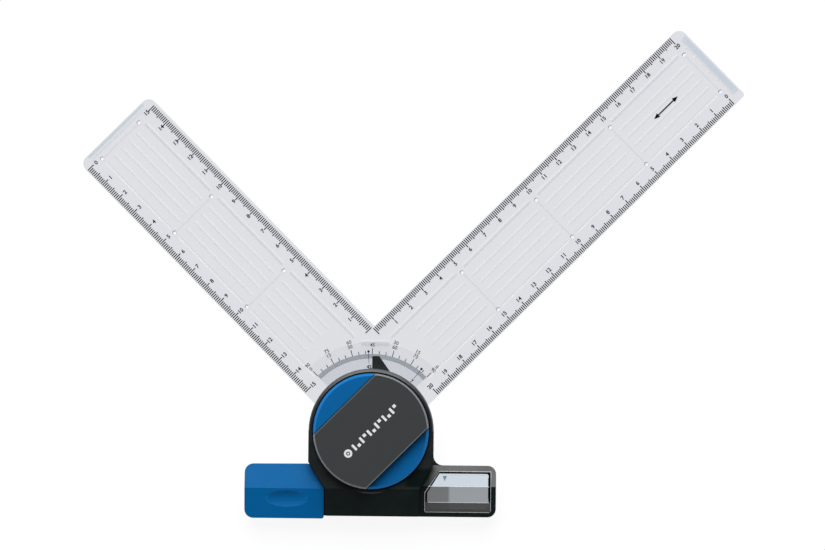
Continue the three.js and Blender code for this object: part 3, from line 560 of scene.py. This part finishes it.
def figure_mesh(text, height, weight):
    """The text's flat mesh in mm, as tall and as bold as asked for and centred on the origin."""
    key = text, weight
    if key not in FIGURES:
        curve = bpy.data.curves.new("figure", "FONT")
        curve.body = text
        curve.resolution_u = 3
        curve.offset = weight
        holder = bpy.data.objects.new("figure", curve)
        bpy.context.scene.collection.objects.link(holder)
        bpy.context.view_layer.update()
        mesh = bpy.data.meshes.new_from_object(holder)
        points = [(v.co.x, v.co.y) for v in mesh.vertices]
        faces = [list(p.vertices) for p in mesh.polygons]
        bpy.data.objects.remove(holder)
        bpy.data.curves.remove(curve)
        bpy.data.meshes.remove(mesh)
        FIGURES[key] = points, faces
    points, faces = FIGURES[key]
    xs, ys = [p[0] for p in points], [p[1] for p in points]
    middle = (min(xs) + max(xs)) / 2, (min(ys) + max(ys)) / 2
    grow = height / (max(ys) - min(ys))
    return [((x - middle[0]) * grow, (y - middle[1]) * grow) for x, y in points], faces


def scale(target, along, edge, inward, zero, step, centimetres, gap, extra, shown):
    """Millimetre marks and centimetre figures along one edge of one arm.

    along is "x" or "y"; edge is the edge's place across the arm and inward the direction into it, 1 or -1.
    The marks start a gap from the edge and reach an extra length further in than the shared lengths."""

    def place(run, across):
        return (run, across) if along == "x" else (across, run)

    for mark in range(centimetres * 10 + 1):
        length = TICK_LENGTHS[10 if mark % 10 == 0 else 5 if mark % 5 == 0 else 1]
        run = zero + step * mark
        start, end = edge + inward * gap, edge + inward * (length + extra)
        target.line(place(run, start), place(run, end), TICK_WIDTH)
        if mark % 10 == 0 and mark // 10 in shown:
            x, y = place(run, edge + inward * (FIGURE_FROM_EDGE + gap / 2))
            target.figure(str(mark // 10), x, y, FIGURE_HEIGHT)


def print_scales():
    """The four scales. The inner ones have no figure at zero, where the arms meet."""
    printed = Print("printed_scales", INK, "black", surface=under_sheet)
    long_far = LONG_ZERO + 10 * LONG_CENTIMETRES
    short_far = SHORT_ZERO + 10 * SHORT_CENTIMETRES
    every = range(LONG_CENTIMETRES + 1)
    long_side, short_side = ("x", LONG_CENTIMETRES), ("y", SHORT_CENTIMETRES)
    for (along, centimetres), edge, inward, zero, step, gap, extra, shown in (
        (long_side, LONG_INNER, -1, LONG_ZERO, 1, TICK_GAP, LONG_INNER_EXTRA, every[1:]),
        (long_side, LONG_OUTER, 1, long_far, -1, TICK_GAP, 0, every),
        (short_side, SHORT_INNER, -1, SHORT_ZERO, 1, SHORT_INNER_GAP, SHORT_INNER_EXTRA, every[1:]),
        (short_side, SHORT_OUTER, 1, short_far, -1, TICK_GAP, SHORT_OUTER_EXTRA, every),
    ):
        scale(printed, along, edge, inward, zero, step, centimetres, gap, extra, shown)
    printed.lay()


def print_size_arrow():
    """A plain two-headed arrow along the long arm, as wide as a word."""
    arrow = Print("printed_arrow", INK, "black", surface=under_sheet)
    (x, y), half = ARROW_MIDDLE, ARROW_LENGTH / 2
    arrow.line((x - half + 1, y), (x + half - 1, y), 0.7)
    for side in (-1, 1):
        tip, neck = x + side * half, x + side * (half - ARROW_HEAD)
        arrow.shape([(tip, y), (neck, y + 1.2), (neck, y - 1.2)])
    arrow.lay()


def at(radius, angle):
    """A place in the square's frame from its distance to the axis and its angle from the long arm."""
    return radius * math.cos(math.radians(angle)), radius * math.sin(math.radians(angle))


def print_protractor():
    """Degree marks from 0 to 90 round the hub, with both ways' figures and two axonometric marks."""
    printed = Print("printed_protractor", INK, "black", surface=under_sheet)
    for angle in range(0, 91, 5):
        if angle == ARC_MIDDLE:
            continue
        figured = angle % 15 == 0
        mark = FIGURED_MARK if figured else DEGREE_MARK
        printed.line(at(ARC_SLOPE_END, angle), at(ARC_SLOPE_END + mark, angle), DEGREE_MARK_WIDTH)
        if figured:
            printed.figure(str(angle), *at(OUTER_FIGURES, angle), DEGREE_FIGURE, angle - 90, 0.01)
            printed.figure(str(90 - angle), *at(INNER_FIGURES, angle), DEGREE_FIGURE, angle - 90, 0.01)
    middle_end = at(ARC_SLOPE_END + MIDDLE_MARK, ARC_MIDDLE)
    printed.line(at(ARC_SLOPE_END, ARC_MIDDLE), middle_end, DEGREE_MARK_WIDTH)
    printed.figure(str(ARC_MIDDLE), *at(MIDDLE_FIGURE, ARC_MIDDLE), 1.7, ARC_MIDDLE - 90, 0.01)
    for angle, label in AXONOMETRIC_MARKS.items():
        printed.dot(*at(AXONOMETRIC_DOT, angle), 0.6)
        printed.line(at(AXONOMETRIC_FROM, angle), at(AXONOMETRIC_TO, angle), 0.24, steps=4)
        printed.figure(label, *at(AXONOMETRIC_FIGURE, angle), DEGREE_FIGURE, angle - 90)
    printed.lay()


def shade_arc():
    """The round recess under the knob: painted shade, darker on its slope than on its floor, and a faint
    painted shade outside it.
    """
    for name, material, inner, outer in (
        ("arc_floor_skin", ARC_FLOOR_SHADE, 20, ARC_RADIUS),
        ("arc_slope_skin", ARC_SHADE, ARC_RADIUS, ARC_SLOPE_END),
        ("arc_surround_skin", SOFT_PAINTED_SHADE, ARC_SLOPE_END, ARC_SHADOW_END),
    ):
        band = Print(name, material, "clear")
        band.band(inner, outer, 0, 90, steps=48)
        band.lay()


def engrave_sheet():
    """Fine lengthwise lines every 5 mm and cross lines through the nubs, drawn as painted highlight and
    painted shade, and darker painted shade along the bevels' rims.
    """
    light = Print("engraved_lines_painted_highlight", LINE_PAINTED_HIGHLIGHT, "clear")
    faint = Print("engraved_lines_faint_painted_highlight", FAINT_PAINTED_HIGHLIGHT, "clear")
    soft = Print("engraved_lines_soft_painted_shade", SOFT_PAINTED_SHADE, "clear")
    dark = Print("engraved_lines_painted_shade", LINE_PAINTED_SHADE, "clear")

    def along(target, across, width, start=50):
        """A line down both arms, broken where a cross line passes."""
        for end, nubs, turn in ((LONG_END, LONG_NUBS, False), (SHORT_END, SHORT_NUBS, True)):
            stops = [start, *(n + side for n in nubs for side in (-2.5, 2.5)), end - END_BEVEL - 1]
            for low, high in zip(stops[::2], stops[1::2]):
                if high > low:
                    ends = ((low, across), (high, across))
                    target.line(*[(v, u) if turn else (u, v) for u, v in ends], width)

    for across in range(5, FLAT_TO, 5):
        along(faint, across + 0.2, 0.8)
        along(soft, across - 0.8, 0.6)
    along(light, -1.1, 0.6, RIM_LINES_FROM)
    along(soft, -0.4, 0.6, RIM_LINES_FROM)
    along(dark, FLAT_TO + 0.4, 1.0, RIM_LINES_FROM)
    along(faint, FLAT_TO + 1.7, 0.8, RIM_LINES_FROM)
    for place in LONG_NUBS:
        soft.line((place, NUB_ROWS[0]), (place, NUB_ROWS[1]), 0.9)
    for place in SHORT_NUBS:
        soft.line((NUB_ROWS[0], place), (NUB_ROWS[1], place), 0.9)
    for target in (light, faint, soft, dark):
        target.lay()


def shade_ends():
    """Painted shade on the bevels across the arms' ends, a little bluer than the sheet, each with a darker
    painted line inside it.
    """
    bevel = Print("end_bevel_skins", END_SHADE, "clear")
    line = Print("end_bevel_lines", SOFT_PAINTED_SHADE, "clear")
    long_from, short_from = LONG_END - END_BEVEL, SHORT_END - END_BEVEL
    bevel.bar(long_from - 0.2, long_from + 2.6, LONG_OUTER + 4, LONG_INNER - 5)
    bevel.bar(SHORT_OUTER + 5, SHORT_INNER - 5, short_from + 1.6, short_from + 2.9)
    line.bar(long_from - 1.0, long_from - 0.3, LONG_OUTER + 4, LONG_INNER - 5)
    line.bar(SHORT_OUTER + 5, SHORT_INNER - 5, short_from - 0.2, short_from + 0.6)
    bevel.lay()
    line.lay()


def light_nubs():
    """The nubs under the sheet gather light: a painted highlight spot with a crescent of painted shade on one
    side.
    """
    spots = Print("nub_lights", GLINT_PAINTED_HIGHLIGHT, "clear")
    shades = Print("nub_shades", NUB_SHADE, "clear")
    for row in NUB_ROWS:
        for centre in [(place, row) for place in LONG_NUBS] + [(row, place) for place in SHORT_NUBS]:
            spots.dot(*centre, 0.75)
            shades.band(0.8, 1.25, 20, 150, steps=8, centre=centre)
    spots.lay()
    shades.lay()


def mould_apex_groove():
    """A shallow groove moulded across the sheet below its inner corner, drawn as a painted highlight bar over
    a band of painted shade.
    """
    light = Print("groove_light", FAINT_PAINTED_HIGHLIGHT, "clear")
    dark = Print("groove_shade", LINE_PAINTED_SHADE, "clear")
    for target, (low, high) in ((light, GROOVE_LIGHT), (dark, GROOVE_SHADE)):
        left, right = GROOVE_ENDS
        corners = ((left, low), (right, low), (right, high), (left, high))
        target.shape([to_square(*corner) for corner in corners])
        target.lay()


def to_square(x, y):
    """A place given in the row frame, in mm, in the square's own frame."""
    return tuple(Matrix.Rotation(-REST_TURN, 2) @ Vector((x, y)))


def print_knob():
    """A painted highlight along the grip bar's straight edges, and along the bar a plain white ring and a row
    of strokes and squares.
    """
    edges = Print("grip_edge_lights", GRIP_EDGE_PAINTED_HIGHLIGHT, "grip", surface=lambda x, y: GRIP_TOP)
    for side in (-1, 1):
        across = side * (GRIP_HALF_WIDTH - 0.45)
        edges.line((-GRIP_EDGE_REACH, across), (GRIP_EDGE_REACH, across), 0.36)
    edges.lay()
    motif = Print("grip_motif", WHITE_INK, "white", surface=lambda x, y: GRIP_TOP)
    motif.band(1.0, 2.0, 0, 360, steps=24, centre=(MOTIF_RING_X, 0))
    motif.dot(MOTIF_RING_X, 0, 0.5)
    for i in range(MOTIF_STROKES):
        x = MOTIF_STROKES_FROM + i * MOTIF_PITCH
        if i % 2 == 0:
            motif.bar(x - 0.1, x + 1.05, -1.65, 1.65)
        else:
            low = -1.6 if i % 4 == 1 else 0.1
            motif.bar(x - 0.35, x + 1.25, low, low + 1.5)
    motif.lay()


def window_top(x, y):
    """The height of the window's top, in mm, at a place in the square's frame at rest."""
    low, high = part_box("reading_window")
    ridge_z, back_y, front_y = high.z / MM, high.y / MM, low.y / MM
    row = Matrix.Rotation(REST_TURN, 2) @ Vector((x, y))
    if row.y > WINDOW_RIDGE_Y:
        drop = WINDOW_BACK_DROP * (row.y - WINDOW_RIDGE_Y) / (back_y - WINDOW_RIDGE_Y)
    else:
        drop = WINDOW_FRONT_DROP * (WINDOW_RIDGE_Y - row.y) / (WINDOW_RIDGE_Y - front_y)
    return ridge_z - drop + INK_THICKNESS


def mark_window():
    """A faint index triangle, and painted highlight lines along the window's ridge, seat and outer edges, on
    the housing.
    """
    index = Print("window_index", INDEX_SMOKE, "black", surface=window_top, body="base")
    corners = ((INDEX_X - 1, INDEX_TOP_Y), (INDEX_X, INDEX_TIP_Y), (INDEX_X + 1, INDEX_TOP_Y))
    index.shape([to_square(*corner) for corner in corners])
    index.lay()
    lines = Print("window_lights", GLINT_PAINTED_HIGHLIGHT, "clear", surface=window_top, body="base")
    low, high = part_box("reading_window")
    left, right = low.x / MM + RIM_LIGHT, high.x / MM - RIM_LIGHT
    front, back = low.y / MM + RIM_LIGHT, high.y / MM - RIM_LIGHT
    slant_x, slant_y = WINDOW_SLANT_X + RIM_LIGHT / 2, WINDOW_SLANT_Y - RIM_LIGHT / 2
    outline = [(left, front), (right, front), (right, back), (slant_x, back), (left, slant_y), (left, front)]
    for start, end in zip(outline, outline[1:]):
        lines.line(to_square(*start), to_square(*end), 0.3, steps=12)
    for y in (WINDOW_RIDGE_Y, WINDOW_VIEW_FRONT):
        lines.line(to_square(left + 1.6, y), to_square(right - 0.8, y), 0.3)
    lines.lay()


# ---------------------------------------------------------------- studio


def sky():
    """A light tent: bright near the horizon and dim overhead."""
    world = bpy.data.worlds.new("studio")
    bpy.context.scene.world = world
    world.use_nodes = True
    nodes, join = world.node_tree.nodes, world.node_tree.links.new
    place = nodes.new("ShaderNodeTexCoord")
    parts = nodes.new("ShaderNodeSeparateXYZ")
    fall = nodes.new("ShaderNodeMapRange")
    fall.interpolation_type = "SMOOTHERSTEP"
    fall.inputs["From Max"].default_value = 0.75
    fall.inputs["To Min"].default_value = 1.0
    fall.inputs["To Max"].default_value = 0.06
    join(place.outputs["Generated"], parts.inputs["Vector"])
    join(parts.outputs["Z"], fall.inputs["Value"])
    join(fall.outputs["Result"], nodes["Background"].inputs["Strength"])
    nodes["Background"].inputs["Color"].default_value = (1, 1, 1, 1)


def studio():
    """A pale floor, a soft light from behind and above, and a camera looking almost straight down."""
    bpy.ops.mesh.primitive_plane_add(size=20, location=(0, 0, -FLOOR_GAP))
    floor = bpy.context.object
    floor.name = "floor"
    t = Tree("pale_floor")
    shader = t.add("ShaderNodeBsdfPrincipled")
    shader.inputs["Base Color"].default_value = (0.15, 0.15, 0.15, 1)
    shader.inputs["Roughness"].default_value = 0.95
    shader.inputs["Specular IOR Level"].default_value = 0
    shader.inputs["Emission Color"].default_value = (1, 1, 1, 1)
    shader.inputs["Emission Strength"].default_value = 0.9
    t.join(shader.outputs["BSDF"], t.output.inputs["Surface"])
    floor.data.materials.append(t.material)
    sky()

    light = bpy.data.lights.new("back_softbox", "AREA")
    light.energy = 38
    light.size = 1.8
    lamp = bpy.data.objects.new("back_softbox", light)
    lamp.location = LAMP_PLACE
    lamp.rotation_euler = (Vector(LAMP_AIM) - lamp.location).to_track_quat("-Z", "Y").to_euler()
    bpy.context.scene.collection.objects.link(lamp)

    camera = bpy.data.cameras.new("camera")
    camera.sensor_width = 36
    camera.lens = camera.sensor_width * EYE_DISTANCE / FIELD_WIDTH
    camera.clip_end = 50
    eye = bpy.data.objects.new("camera", camera)
    eye.rotation_euler = [math.radians(turn) for turn in EYE_TURN_DEGREES]
    back = eye.rotation_euler.to_matrix() @ Vector((0, 0, EYE_DISTANCE))
    eye.location = Vector(LOOKED_AT) + back
    bpy.context.scene.collection.objects.link(eye)
    bpy.context.scene.camera = eye
    bpy.context.scene.view_settings.view_transform = "Standard"
    bpy.context.scene.cycles.denoising_prefilter = "FAST"


finish_nodes()
print_scales()
print_size_arrow()
print_protractor()
shade_arc()
engrave_sheet()
shade_ends()
light_nubs()
mould_apex_groove()
print_knob()
mark_window()
studio()
